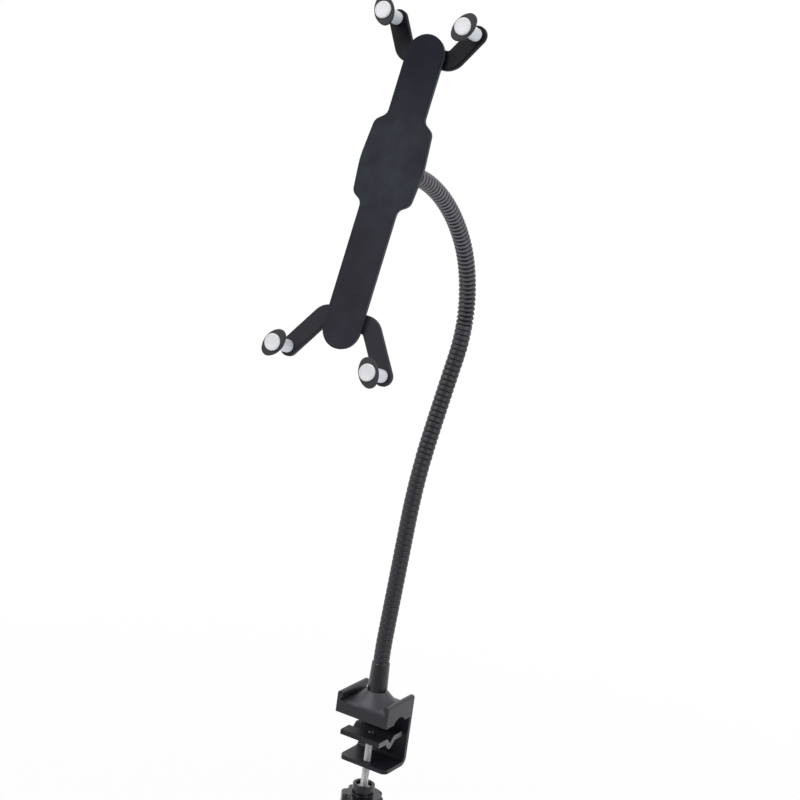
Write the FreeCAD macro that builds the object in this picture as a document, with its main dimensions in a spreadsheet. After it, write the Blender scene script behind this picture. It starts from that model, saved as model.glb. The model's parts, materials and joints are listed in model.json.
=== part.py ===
import FreeCAD, Part
import math
import os
from FreeCAD import Placement, Rotation, Vector

# A tablet holder on a flexible arm, clamped to a round rail.
# The frame's origin is on the rail's axis, under the arm. +X runs along the rail,
# +Y runs back, away from the person who looks at the tablet, and +Z is up.
# The holding head is drawn flat, in a frame of its own: x across, y up the panel, z out of
# its face, with z = 0 on the face that the tablet rests on.

doc = FreeCAD.newDocument("TabletHolder")
sheet = doc.addObject("Spreadsheet::Sheet", "Sizes")

SIZES = {
    # the rail and the upper jaw that sits on it
    "rail_radius": 10.0,
    "saddle_play": 0.1,
    "jaw_length": 48.0,
    "jaw_depth": 40.0,
    "jaw_bottom": 5.6,
    "shoe_floor": 12.7,
    "front_lip": 2.0,
    "wall_top": 23.4,
    "wall_thickness": 3.4,
    "wall_roll": 5.0,
    "groove_depth": 1.2,
    # the bent frame, its screws and the lower jaw
    "frame_width": 44.0,
    "frame_plate": 3.5,
    "frame_bend": 3.0,
    "frame_floor": -34.8,
    "frame_front": 8.0,
    "frame_corner": 5.0,
    "frame_screw_radius": 2.0,
    "frame_screw_spacing": 26.0,
    "lower_jaw_length": 36.6,
    "lower_jaw_wing": 12.3,
    "lower_jaw_plate": 4.4,
    "vee_half_width": 5.2,
    "jaw_to_rail": 0.25,
    # the clamp screw, the ring on its thin end, and its knob
    "screw_radius": 3.0,
    "screw_tip_radius": 2.0,
    "running_play": 0.06,
    "ring_wall": 0.7,
    "ring_plate": 0.4,
    "ring_clearance": 0.4,
    "collar_top": -55.2,
    "collar_radius": 9.0,
    "collar_wall": 2.6,
    "collar_height": 8.5,
    "collar_hollow": 6.4,
    "nut_height": 3.9,
    "knob_radius": 18.0,
    "knob_height": 14.0,
    "knob_floor": 2.0,
    "knob_lobes": 5,
    # the foot of the arm and its sleeve
    "foot_plate": 2.6,
    "foot_play": 0.2,
    "foot_stop_gap": 0.5,
    "dome_radius": 15.2,
    "dome_height": 10.9,
    "dome_swell": 0.9,
    "skirt_height": 1.7,
    "skirt_swell": 0.35,
    "sleeve_foot_radius": 8.1,
    "sleeve_radius": 7.2,
    "sleeve_length": 24.0,
    "foot_bolt_radius": 2.5,
    # the flexible arm
    "arm_length": 443.0,
    "arm_crest": 6.4,
    "arm_groove": 5.75,
    "rib_pitch": 4.4,
    "bend_gap": 0.7,
    "bend_tip": 0.8,
    "bend_shoulder": 2.6,
    # the ball joint at the end of the arm
    "ball_radius": 8.0,
    "ball_play": 0.1,
    "ball_depth": 19.0,
    "stud_radius": 2.8,
    "stud_reach": 6.0,
    "head_sleeve_length": 14.0,
    "mouth_depth": 4.6,
    "seat_hollow": 3.0,
    "cup_radius": 11.4,
    "ring_radius": 13.6,
    "ring_height": 9.5,
    "ring_lip": 1.2,
    "flange_radius": 19.0,
    "flange_plate": 3.0,
    # the panel
    "panel_width": 30.4,
    "panel_top": 95.5,
    "panel_bottom": 135.0,
    "hub_width": 53.0,
    "hub_top": 33.0,
    "hub_bottom": 29.0,
    "hub_barrel": 60.0,
    "hub_taper": 2.6,
    "hub_corner": 7.0,
    "hub_fillet": 6.0,
    "face_pad": 1.8,
    "spine_plate": 2.6,
    "head_roll": 2.3,
    # the four legs
    "pivot_spacing": 14.6,
    "pivot_top": 80.6,
    "pivot_bottom": 113.0,
    "leg_width": 14.0,
    "leg_plate": 5.0,
    "leg_play": 0.3,
    "leg_elbow": 12.0,
    "elbow_outside": 15.4,
    "elbow_inside": 2.5,
    "upper_reach": 25.6,
    "upper_turn": 58.0,
    "lower_reach": 37.4,
    "lower_turn": 55.2,
    "pivot_radius": 2.5,
    "pivot_head_radius": 6.6,
    "pivot_head_height": 4.0,
    # the posts that grip the tablet
    "post_radius": 4.8,
    "post_length": 18.0,
    "post_screw_radius": 2.0,
    "lip_length": 22.4,
    "lip_width": 15.6,
    "lip_end_round": 5.8,
    "lip_plate": 2.6,
    "lip_turn": 31.0,
    "cap_radius": 6.4,
    "cap_height": 2.0,
}

for row, (alias, number) in enumerate(SIZES.items(), start=1):
    sheet.set(f"A{row}", alias)
    sheet.set(f"B{row}", str(number))
    sheet.setAlias(f"B{row}", alias)
doc.recompute()


def size(alias):
    return float(sheet.get(alias))


# What follows from the driving sizes.

saddle_radius = size("rail_radius") + size("saddle_play")
frame_screw_height = (size("jaw_bottom") + size("shoe_floor")) / 2
foot_front = size("jaw_depth") / 2 - size("front_lip") - size("foot_stop_gap")
sleeve_base = size("shoe_floor") + size("foot_plate") + size("dome_height")
arm_start = sleeve_base + size("sleeve_length")
spine_back = -(size("face_pad") + size("spine_plate"))
leg_front = spine_back - size("leg_play")
leg_back = leg_front - size("leg_plate")

# The arm's line: the lengths of its runs, and how far each turns, in degrees. A turn is
# positive towards the back. The runs are stretched to the arm's whole length.
ARM_RUNS = [
    (24.1, 6.4),
    (92.1, 0.0),
    (69.4, 14.1),
    (63.7, 1.6),
    (46.0, -31.8),
    (56.1, -29.7),
    (79.5, -29.3),
    (11.8, -6.7),
]
LINK_COUNT = 4
arm_length = size("arm_length")
arm_stretch = arm_length / sum(run for run, turn in ARM_RUNS)
link_length = arm_length / LINK_COUNT


def arm_point(distance):
    """Place and direction on the arm's line, at a distance along it from the sleeve's top."""
    y, z, heading = 0.0, arm_start, 0.0
    left = distance
    for number, (drawn, turn) in enumerate(ARM_RUNS, start=1):
        run = drawn * arm_stretch
        part = left if run >= left or number == len(ARM_RUNS) else run
        swing = math.radians(turn) * part / run
        chord = part if abs(swing) < 1e-9 else 2 * part / swing * math.sin(swing / 2)
        y += chord * math.sin(heading + swing / 2)
        z += chord * math.cos(heading + swing / 2)
        heading += swing
        left -= part
        if left <= 0:
            break
    return Vector(0, y, z), Vector(0, math.sin(heading), math.cos(heading))


# The head hangs on the end of the arm: its face looks along the arm's last direction.
head_depth = size("ball_depth") + size("ball_radius") + size("stud_reach") + size("head_sleeve_length")
arm_end, head_normal = arm_point(arm_length)
face_centre = arm_end + head_normal * head_depth
facing = math.degrees(math.atan2(-head_normal.y, head_normal.z))
head_place = Placement(
    face_centre,
    Rotation(Vector(1, 0, 0), facing) * Rotation(Vector(0, 0, 1), -size("head_roll")),
)
clamp_place = Placement()


def rounded(corners):
    """Closed outline of lines and arcs through corners given as (x, y, corner radius)."""
    count = len(corners)
    starts, ends, arcs = [], [], []
    for i in range(count):
        here = Vector(corners[i][0], corners[i][1], 0)
        before = Vector(corners[i - 1][0], corners[i - 1][1], 0) - here
        after = Vector(corners[(i + 1) % count][0], corners[(i + 1) % count][1], 0) - here
        before.normalize()
        after.normalize()
        radius = corners[i][2]
        if radius <= 0:
            starts.append(here)
            ends.append(here)
            continue
        half = before.getAngle(after) / 2
        reach = radius / math.tan(half)
        bisector = before + after
        bisector.normalize()
        start = here + before * reach
        end = here + after * reach
        middle = here + bisector * (radius / math.sin(half) - radius)
        starts.append(start)
        ends.append(end)
        arcs.append(Part.Arc(start, middle, end))
    lines = []
    for i in range(count):
        a, b = ends[i - 1], starts[i]
        if a.distanceToPoint(b) > 1e-6:
            lines.append(Part.LineSegment(a, b))
    return lines + arcs


def mirrored(half):
    """Both sides of an outline whose right half is given from bottom to top."""
    left = [(-x, y, radius) for x, y, radius in reversed(half)]
    return half + left


def circle(x, y, radius):
    return Part.Circle(Vector(x, y, 0), Vector(0, 0, 1), radius)


def new_body(label):
    body = doc.addObject("PartDesign::Body", label)
    body.Label = label
    return body


def sketch_on(body, role, shapes, offset=0.0):
    """Sketch on one of the body's own origin planes, moved along its normal by offset."""
    sketch = body.newObject("Sketcher::SketchObject", body.Name + "_sketch")
    plane = next(f for f in body.Origin.OriginFeatures if f.Role == role)
    sketch.AttachmentSupport = (plane, [""])
    sketch.MapMode = "FlatFace"
    sketch.AttachmentOffset = Placement(Vector(0, 0, offset), Rotation())
    sketch.addGeometry(shapes)
    return sketch


def pad(body, sketch, length, side="One side", reverse=False):
    feature = body.newObject("PartDesign::Pad", body.Name + "_pad")
    feature.Profile = sketch
    feature.SideType = side
    feature.Reversed = reverse
    feature.setExpression("Length", length)
    sketch.Visibility = False
    return feature


def pocket(body, sketch, length, side="One side", reverse=False):
    feature = body.newObject("PartDesign::Pocket", body.Name + "_pocket")
    feature.Profile = sketch
    feature.SideType = side
    feature.Reversed = reverse
    feature.setExpression("Length", length)
    sketch.Visibility = False
    return feature


def revolve(body, sketch):
    """Turn a sketch on the XZ plane round the body's own Z axis."""
    feature = body.newObject("PartDesign::Revolution", body.Name + "_turned")
    feature.Profile = sketch
    axis = next(f for f in body.Origin.OriginFeatures if f.Role == "Z_Axis")
    feature.ReferenceAxis = (axis, [""])
    feature.Angle = 360
    sketch.Visibility = False
    return feature


def round_edges(body, base, kind, radius, wanted):
    """Fillet or chamfer the edges that a test picks, with the radius from the sheet's words."""
    doc.recompute()
    names = [f"Edge{i}" for i, edge in enumerate(base.Shape.Edges, start=1) if wanted(edge)]
    feature = body.newObject(f"PartDesign::{kind}", body.Name + "_" + kind.lower())
    feature.Base = (base, names)
    feature.setExpression("Radius" if kind == "Fillet" else "Size", radius)
    return feature


def profile(points):
    """Closed outline of straight lines."""
    return rounded([(x, y, 0) for x, y in points])


NODES = []


def keep(item, place):
    item.Placement = place
    NODES.append(item)
    return item


def turned(label, points, place):
    """A turned piece: half its section, as (radius, height) points, spun round its axis."""
    body = new_body(label)
    revolve(body, sketch_on(body, "XZ_Plane", profile(points)))
    return keep(body, place)


def solids(label, shapes, place):
    """Several like pieces kept as separate solids of one node."""
    group = doc.addObject("Part::Feature", label)
    group.Label = label
    group.Shape = Part.makeCompound(shapes)
    return keep(group, place)


def disc(radius, height, centre, axis=Vector(0, 0, 1)):
    return Part.makeCylinder(radius, height, centre, axis)


# The clamp.

def upper_jaw():
    body = new_body("upper_jaw")
    half = size("jaw_length") / 2
    inside = half - size("wall_thickness")
    groove = inside + size("groove_depth")
    roll = half - size("wall_roll")
    bottom = size("jaw_bottom")
    floor = size("shoe_floor")
    groove_top = floor + size("foot_plate") + size("foot_play")
    top = size("wall_top")
    roll_bottom = top - size("wall_roll")
    roll_round = size("wall_roll") / 2 - 0.3
    right = [
        (half, bottom, 0.0),
        (half, top, 2.0),
        (roll, top, roll_round),
        (roll, roll_bottom, 1.2),
        (inside, roll_bottom, 0.0),
        (inside, groove_top, 0.0),
        (groove, groove_top, 0.0),
        (groove, floor, 0.0),
    ]
    front_view = sketch_on(body, "XZ_Plane", rounded(mirrored(right)))
    pad(body, front_view, "Sizes.jaw_depth", side="Symmetric")
    back = size("jaw_depth") / 2
    ends = groove + 0.4
    stop = profile([(-ends, floor - 1.0), (ends, floor - 1.0), (ends, groove_top), (-ends, groove_top)])
    pad(body, sketch_on(body, "XZ_Plane", stop, offset=back), "Sizes.front_lip", reverse=True)
    saddle = sketch_on(body, "YZ_Plane", [circle(0, 0, saddle_radius)])
    pocket(body, saddle, "Sizes.jaw_length + 2", side="Symmetric")
    bores = []
    for side in (-1, 1):
        across = side * size("frame_screw_spacing") / 2
        bores.append(circle(across, frame_screw_height, size("frame_screw_radius") + 0.05))
    holes = sketch_on(body, "XZ_Plane", bores, offset=-back)
    cut = pocket(body, holes, "Sizes.frame_screw_radius * 4", reverse=True)
    body.Tip = cut
    return keep(body, clamp_place)


def clamp_frame():
    """Plate bent round the back of the rail, from the upper jaw down and under."""
    body = new_body("clamp_frame")
    plate = size("frame_plate")
    inner = size("jaw_depth") / 2
    outer = inner + plate
    floor = size("frame_floor")
    top = size("shoe_floor") - 0.3
    bend = size("frame_bend")
    front = -size("frame_front")
    side_view = [
        (front, floor, 0),
        (inner, floor, bend),
        (inner, top, 0),
        (outer, top, 1.0),
        (outer, floor - plate, bend + plate),
        (front, floor - plate, 0),
    ]
    section = sketch_on(body, "YZ_Plane", rounded(side_view))
    bent = pad(body, section, "Sizes.frame_width", side="Symmetric")
    threads = sketch_on(body, "XY_Plane", [circle(0, 0, size("screw_radius") + size("running_play"))])
    tapped = pocket(body, threads, "-Sizes.frame_floor + Sizes.frame_plate + 1")
    bores = []
    for side in (-1, 1):
        across = side * size("frame_screw_spacing") / 2
        bores.append(circle(across, frame_screw_height, size("frame_screw_radius") + 0.05))
    holes = sketch_on(body, "XZ_Plane", bores, offset=-(outer + 1.0))
    pocket(body, holes, "Sizes.frame_plate + 2", reverse=True)
    doc.recompute()
    last = body.Tip

    def front_corner(edge):
        box = edge.BoundBox
        upright = box.ZLength > plate - 0.01 and box.XLength < 0.01 and box.YLength < 0.01
        return upright and abs(box.YMin - front) < 0.01

    round_edges(body, last, "Fillet", "Sizes.frame_corner", front_corner)
    return keep(body, clamp_place)


def frame_screws():
    """Two cap screws hold the bent frame to the back of the upper jaw."""
    back = size("jaw_depth") / 2 + size("frame_plate")
    height = frame_screw_height
    radius = size("frame_screw_radius")
    pieces = []
    for side in (-1, 1):
        across = side * size("frame_screw_spacing") / 2
        shank = disc(radius, radius * 3.5 + size("frame_plate"), Vector(across, back, height), Vector(0, -1, 0))
        head = disc(radius * 1.6, radius * 1.1, Vector(across, back, height), Vector(0, 1, 0))
        drive = disc(radius * 0.8, radius * 0.7, Vector(across, back + radius * 1.1, height), Vector(0, -1, 0))
        pieces.append(shank.fuse(head).removeSplitter().cut(drive))
    return solids("frame_screws", pieces, clamp_place)


vee_top = -math.sqrt((size("rail_radius") + size("jaw_to_rail")) ** 2 - size("vee_half_width") ** 2)
vee_bottom = vee_top - size("vee_half_width")
vee_point = vee_bottom - size("lower_jaw_plate") * math.sqrt(2)
vee_rounding = size("lower_jaw_plate") * 0.8
vee_under = vee_point + vee_rounding * (math.sqrt(2) - 1)
ring_radius = size("screw_tip_radius") + size("ring_wall")
ring_foot = vee_bottom + ring_radius + size("ring_clearance")
ring_top = ring_foot + size("ring_plate")


def lower_jaw():
    """Pressure jaw: a plate with a vee down its middle, which the screw pushes up."""
    body = new_body("lower_jaw")
    half = size("vee_half_width")
    plate = size("lower_jaw_plate")
    edge = half + size("lower_jaw_wing")
    bend = half + plate * (math.sqrt(2) - 1)
    right = [
        (half, vee_top, 0.0),
        (edge, vee_top, 0.8),
        (edge, vee_top - plate, 0.8),
        (bend, vee_top - plate, 0.0),
    ]
    left = [(-y, z, radius) for y, z, radius in reversed(right)]
    outline = [(0.0, vee_bottom, 0.0)] + right + [(0.0, vee_point, vee_rounding)] + left
    section = sketch_on(body, "YZ_Plane", rounded(outline))
    pad(body, section, "Sizes.lower_jaw_length", side="Symmetric")
    hole = sketch_on(body, "XY_Plane", [circle(0, 0, size("screw_tip_radius") + size("running_play"))])
    pocket(body, hole, "Sizes.collar_radius * 3")
    return keep(body, clamp_place)


def clamp_screw():
    """Screw with a thin end that turns in the lower jaw, held there by a ring."""
    radius = size("screw_radius")
    tip = size("screw_tip_radius")
    step = vee_under - 0.3
    tip_top = ring_top + 0.12
    foot = size("collar_top") - size("collar_height") - size("knob_height") + size("knob_floor")
    points = [
        (0, foot),
        (radius, foot),
        (radius, step - 0.4),
        (radius - 0.4, step),
        (tip, step),
        (tip, tip_top),
        (0, tip_top),
    ]
    return turned("clamp_screw", points, clamp_place)


def screw_ring():
    """Ring snapped on the screw's thin end, inside the vee and below the rail."""
    tip = size("screw_tip_radius")
    section = [(tip, ring_foot), (ring_radius, ring_foot), (ring_radius, ring_top), (tip, ring_top)]
    return turned("screw_ring", section, clamp_place)


def knob():
    """Five-lobed grip with a hollow collar round the screw."""
    body = new_body("knob")
    collar_top = size("collar_top")
    collar_foot = collar_top - size("collar_height")
    foot = collar_foot - size("knob_height")
    lobes = int(size("knob_lobes"))
    outer = size("knob_radius")
    valley = outer * 0.74
    corners = []
    for k in range(lobes):
        centre = 360.0 * k / lobes
        for share, radius, rounding in ((-0.27, outer, 3.2), (0.27, outer, 3.2), (0.5, valley, 3.6)):
            angle = math.radians(centre + share * 360.0 / lobes)
            corners.append((radius * math.cos(angle), radius * math.sin(angle), rounding))
    star = sketch_on(body, "XY_Plane", rounded(corners), offset=foot)
    pad(body, star, "Sizes.knob_height")
    round_collar = sketch_on(body, "XY_Plane", [circle(0, 0, size("collar_radius"))], offset=collar_foot)
    pad(body, round_collar, "Sizes.collar_height")
    hollow = size("collar_radius") - size("collar_wall")
    mouth = sketch_on(body, "XY_Plane", [circle(0, 0, hollow)], offset=collar_top)
    pocket(body, mouth, "Sizes.collar_hollow")
    bore = sketch_on(body, "XY_Plane", [circle(0, 0, size("screw_radius"))], offset=collar_top)
    bored = pocket(body, bore, "Sizes.collar_height + Sizes.knob_height - Sizes.knob_floor")

    def rim(edge):
        box = edge.BoundBox
        flat = box.ZLength < 0.01 and (abs(box.ZMin - foot) < 0.01 or abs(box.ZMin - collar_foot) < 0.01)
        return flat and max(abs(box.XMin), abs(box.XMax), abs(box.YMin), abs(box.YMax)) > valley * 0.75

    round_edges(body, bored, "Chamfer", "Sizes.knob_height * 0.09", rim)
    return keep(body, clamp_place)


def knob_nut():
    """Flanged nut moulded in at the bottom of the collar."""
    body = new_body("knob_nut")
    seat = size("collar_top") - size("collar_hollow")
    across = size("collar_radius") - size("collar_wall") - 0.4
    corners = []
    for k in range(6):
        angle = math.radians(60 * k)
        corners.append((across * math.cos(angle), across * math.sin(angle), 0.0))
    hexagon = sketch_on(body, "XY_Plane", rounded(corners) + [circle(0, 0, size("screw_radius"))], offset=seat)
    pad(body, hexagon, "Sizes.nut_height")
    return keep(body, clamp_place)


# The foot of the arm.

def swelled(start, end, swell):
    """Arc from one point to another, bowed to the right of the way from start to end."""
    a, b = Vector(*start, 0), Vector(*end, 0)
    way = b - a
    aside = Vector(way.y, -way.x, 0)
    aside.normalize()
    return Part.Arc(a, (a + b) / 2 + aside * swell, b)


def arm_foot():
    """Square plate that slides into the shoe on top of the jaw, drawn up to a round dome."""
    body = new_body("arm_foot")
    half = size("jaw_length") / 2 - size("wall_thickness") + size("groove_depth") - size("foot_play")
    back = size("jaw_depth") / 2
    low = size("shoe_floor")
    base = low + size("foot_plate")
    square = profile([(-half, -foot_front), (half, -foot_front), (half, back), (-half, back)])
    pad(body, sketch_on(body, "XY_Plane", square, offset=low), "Sizes.foot_plate")
    skirt = (foot_front - 0.8, base)
    waist = (size("dome_radius"), base + size("skirt_height"))
    neck = (size("sleeve_foot_radius") + 0.2, sleeve_base)
    inside = base - size("foot_plate") / 2
    section = [
        Part.LineSegment(Vector(0, inside, 0), Vector(skirt[0], inside, 0)),
        Part.LineSegment(Vector(skirt[0], inside, 0), Vector(*skirt, 0)),
        swelled(skirt, waist, -size("skirt_swell")),
        swelled(waist, neck, size("dome_swell")),
        Part.LineSegment(Vector(*neck, 0), Vector(0, sleeve_base, 0)),
        Part.LineSegment(Vector(0, sleeve_base, 0), Vector(0, inside, 0)),
    ]
    revolve(body, sketch_on(body, "XZ_Plane", section))
    bolt = size("foot_bolt_radius")
    shaft = sketch_on(body, "XY_Plane", [circle(0, 0, bolt)], offset=low)
    pocket(body, shaft, "Sizes.foot_plate + Sizes.dome_height + 1", reverse=True)
    sink = sketch_on(body, "XY_Plane", [circle(0, 0, bolt * 2)], offset=low)
    pocket(body, sink, "Sizes.foot_bolt_radius * 1.3", reverse=True)
    return keep(body, clamp_place)


def foot_bolt():
    """Screw from under the plate, up into the sleeve of the arm."""
    radius = size("foot_bolt_radius")
    low = size("shoe_floor") + 0.1
    head_top = size("shoe_floor") + radius * 1.3 - 0.1
    top = sleeve_base + size("sleeve_length") * 0.4
    points = [
        (0, low),
        (radius * 1.9, low),
        (radius * 1.9, head_top),
        (radius, head_top),
        (radius, top),
        (0, top),
    ]
    return turned("foot_bolt", points, clamp_place)


def base_sleeve():
    """Sleeve that the arm is pressed into, solid at its foot for the screw."""
    radius = size("sleeve_radius")
    inner = size("arm_groove") + size("running_play")
    seat = sleeve_base + size("sleeve_length") * 0.5
    bolt = size("foot_bolt_radius")
    points = [
        (bolt, sleeve_base),
        (size("sleeve_foot_radius"), sleeve_base),
        (radius, arm_start - 0.8),
        (radius - 0.8, arm_start),
        (inner, arm_start),
        (inner, seat),
        (0, seat),
        (0, seat - 1.0),
        (bolt, seat - 1.0),
    ]
    return turned("base_sleeve", points, clamp_place)


# The flexible arm, as stretches that meet at bend points.

def ring_wire(distance, radius, shift=0.0):
    """Circle square to the arm's line, always started on the same side."""
    centre, along = arm_point(distance)
    ring = Part.Circle(centre + along * shift, along, radius)
    ring.XAxis = Vector(1, 0, 0)
    return Part.Wire([ring.toShape()])


def arm_link(number):
    """One ribbed stretch. Each rib leans like the rim of a cup stacked in the next."""
    start = link_length * number
    end = link_length * (number + 1)
    crest = size("arm_crest")
    groove = size("arm_groove")
    tip = size("bend_tip")
    half_gap = size("bend_gap") / 2
    shoulder = size("bend_shoulder")
    wires = []
    if number == 0:
        first = start + 1.0
        wires.append(ring_wire(start, groove, shift=-size("sleeve_length") * 0.5))
        wires.append(ring_wire(first, groove))
    else:
        first = start + shoulder
        wires.append(ring_wire(start + half_gap, tip))
        wires.append(ring_wire(first, groove))
    last = end - 1.0 if number == LINK_COUNT - 1 else end - shoulder
    ribs = round((last - first) / size("rib_pitch"))
    pitch = (last - first) / ribs
    for rib in range(ribs):
        wires.append(ring_wire(first + pitch * (rib + 0.3), crest))
        wires.append(ring_wire(first + pitch * (rib + 1), groove))
    if number == LINK_COUNT - 1:
        wires.append(ring_wire(end, groove, shift=size("head_sleeve_length") * 0.5))
    else:
        wires.append(ring_wire(end - half_gap, tip))
    link = doc.addObject("Part::Feature", f"arm_link_{number + 1}")
    link.Label = f"arm_link_{number + 1}"
    link.Shape = Part.makeLoft(wires, True, True)
    return keep(link, Placement())


# The ball joint, drawn in the head's own frame. Heights are negative behind the face.

ball_height = -size("ball_depth")
stud_foot = ball_height - size("ball_radius") - size("stud_reach")


def head_sleeve():
    """Sleeve on the arm's far end. The stud of the ball turns in it."""
    radius = size("sleeve_radius")
    back = stud_foot - size("head_sleeve_length")
    seat = back + size("head_sleeve_length") * 0.5
    bore = size("stud_radius") + size("running_play")
    socket = size("arm_groove") + size("running_play")
    points = [
        (bore, stud_foot),
        (radius - 0.8, stud_foot),
        (radius, stud_foot - 0.8),
        (radius, back),
        (socket, back),
        (socket, seat),
        (bore, seat),
    ]
    return turned("head_sleeve", points, head_place)


def ball_stud():
    """Steel ball on a stud, with a collar that bears on the sleeve's end."""
    body = new_body("ball_stud")
    ball = size("ball_radius")
    stud = size("stud_radius")
    low = stud_foot - size("head_sleeve_length") * 0.5 + 0.3
    collar = stud_foot + 0.3
    leave = ball_height - math.sqrt(ball ** 2 - stud ** 2)
    lines = [
        (0, low),
        (stud, low),
        (stud, collar),
        (stud * 2, collar),
        (stud * 2, collar + 1.6),
        (stud, collar + 1.6),
        (stud, leave),
    ]
    shapes = []
    for a, b in zip(lines, lines[1:]):
        shapes.append(Part.LineSegment(Vector(*a, 0), Vector(*b, 0)))
    side = Vector(ball, ball_height, 0)
    top = Vector(0, ball_height + ball, 0)
    shapes.append(Part.Arc(Vector(stud, leave, 0), side, top))
    shapes.append(Part.LineSegment(top, Vector(0, low, 0)))
    revolve(body, sketch_on(body, "XZ_Plane", shapes))
    return keep(body, head_place)


mouth_height = ball_height - size("mouth_depth")
cup_back = spine_back - size("flange_plate")


def socket_screw_places():
    """The four screws round the cup, as (x, y) on the panel."""
    ring = (size("flange_radius") + size("cup_radius")) / 2 + 0.6
    angles = [math.radians(45 + 90 * k) for k in range(4)]
    return [(ring * math.cos(angle), ring * math.sin(angle)) for angle in angles]


def socket_cup():
    """Flanged cup screwed to the back of the panel. The ball goes in at its mouth and bears
    on a conical seat, and the lock ring keeps it there."""
    body = new_body("socket_cup")
    cavity = size("ball_radius") + size("ball_play")
    cone = ball_height + cavity * math.sqrt(2)
    hollow = size("seat_hollow")
    cup = size("cup_radius")
    flange = size("flange_radius")
    section = [
        (cavity, mouth_height),
        (cup, mouth_height),
        (cup, cup_back - 1.5),
        (cup + 1.5, cup_back),
        (flange - 1.0, cup_back),
        (flange, cup_back + 1.0),
        (flange, spine_back),
        (0, spine_back),
        (0, cone - hollow),
        (hollow, cone - hollow),
        (cavity, cone - cavity),
    ]
    revolve(body, sketch_on(body, "XZ_Plane", profile(section)))
    holes = [circle(x, y, 1.6) for x, y in socket_screw_places()]
    drilled = sketch_on(body, "XY_Plane", holes, offset=spine_back + 1.0)
    pocket(body, drilled, "Sizes.flange_plate + 2")
    return keep(body, head_place)


def socket_screws():
    pieces = []
    for x, y in socket_screw_places():
        shank = disc(1.5, size("flange_plate") + size("spine_plate") * 0.6, Vector(x, y, cup_back))
        head = disc(2.3, 1.5, Vector(x, y, cup_back - 1.5))
        drive = disc(1.0, 0.8, Vector(x, y, cup_back - 1.5))
        pieces.append(shank.fuse(head).removeSplitter().cut(drive))
    return solids("socket_screws", pieces, head_place)


def lock_ring():
    """Knurled ring round the cup's mouth. Turning it grips the ball."""
    body = new_body("lock_ring")
    inner = size("cup_radius") + size("running_play")
    outer = size("ring_radius")
    back = mouth_height - 0.3 - size("ring_lip")
    front = back + size("ring_height")
    mouth = size("ball_radius") - 0.8
    corners = []
    flutes = 24
    for k in range(2 * flutes):
        angle = math.pi * k / flutes
        radius = outer if k % 2 == 0 else outer - 0.7
        corners.append((radius * math.cos(angle), radius * math.sin(angle), 0.0))
    fluted = sketch_on(body, "XY_Plane", rounded(corners), offset=back)
    pad(body, fluted, "Sizes.ring_height")
    wide = sketch_on(body, "XY_Plane", [circle(0, 0, inner)], offset=front)
    pocket(body, wide, "Sizes.ring_height - Sizes.ring_lip")
    narrow = sketch_on(body, "XY_Plane", [circle(0, 0, mouth)], offset=front)
    pocket(body, narrow, "Sizes.ring_height + 1")
    return keep(body, head_place)


# The panel.

def panel_outline(inset=0.0):
    """Long bar with round ends and a wider, barrel-sided hub."""
    bar = size("panel_width") / 2 - inset
    hub = size("hub_width") / 2 - inset
    shoulder = hub - size("hub_taper")
    top = size("panel_top") - inset
    low = size("panel_bottom") - inset
    hub_top = size("hub_top")
    hub_low = size("hub_bottom")
    end_round = bar - 0.2
    right = [
        (bar, -low, end_round),
        (bar, -hub_low - 1.0, size("hub_fillet")),
        (shoulder, -hub_low + 4.0, size("hub_corner")),
        (hub, 0.0, size("hub_barrel")),
        (shoulder, hub_top - 4.5, size("hub_corner")),
        (bar, hub_top + 1.5, size("hub_fillet")),
        (bar, top, end_round),
    ]
    return rounded(mirrored(right))


def spine_plate():
    """Stiff plate that carries the legs' pivots and the ball joint's cup."""
    body = new_body("spine_plate")
    plate = sketch_on(body, "XY_Plane", panel_outline(inset=0.4), offset=spine_back)
    pad(body, plate, "Sizes.spine_plate")
    holes = [circle(x, y, size("pivot_radius") - 0.5) for x, y in pivots()]
    holes += [circle(x, y, 1.5) for x, y in socket_screw_places()]
    tapped = sketch_on(body, "XY_Plane", holes, offset=spine_back)
    pocket(body, tapped, "Sizes.spine_plate * 0.8", reverse=True)
    return keep(body, head_place)


def face_pad():
    """Soft pad over the whole front of the panel, with an eased rim."""
    body = new_body("face_pad")
    sheet_of_rubber = sketch_on(body, "XY_Plane", panel_outline(), offset=-size("face_pad"))
    slab = pad(body, sheet_of_rubber, "Sizes.face_pad")

    def front_rim(edge):
        box = edge.BoundBox
        return box.ZLength < 0.01 and abs(box.ZMax) < 0.01

    round_edges(body, slab, "Chamfer", "Sizes.face_pad * 0.4", front_rim)
    return keep(body, head_place)


def pivots():
    """Pivot places on the panel: upper left, upper right, lower left, lower right."""
    across = size("pivot_spacing") / 2
    top = size("pivot_top")
    low = -size("pivot_bottom")
    return [(-across, top), (across, top), (-across, low), (across, low)]


# The legs. Each is drawn with its pivot at the origin and its short end along +x.

LEGS = ["upper_left", "upper_right", "lower_left", "lower_right"]


def leg_place(name):
    """Place of a leg's drawing on the panel. Left legs are drawn turned over."""
    x, y = pivots()[LEGS.index(name)]
    return Placement(Vector(x, y, 0), Rotation())


def leg_side(name):
    return -1 if name.endswith("left") else 1


def leg_rise(name):
    return 1 if name.startswith("upper") else -1


def leg_reach(name):
    return size("upper_reach") if name.startswith("upper") else size("lower_reach")


def leg_turn(name):
    return math.radians(size("upper_turn") if name.startswith("upper") else size("lower_turn"))


def post_point(name):
    """Centre of the post, from the leg's pivot."""
    turn, reach = leg_turn(name), leg_reach(name)
    across = size("leg_elbow") + reach * math.cos(turn)
    along = reach * math.sin(turn)
    return leg_side(name) * across, leg_rise(name) * along


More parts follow.
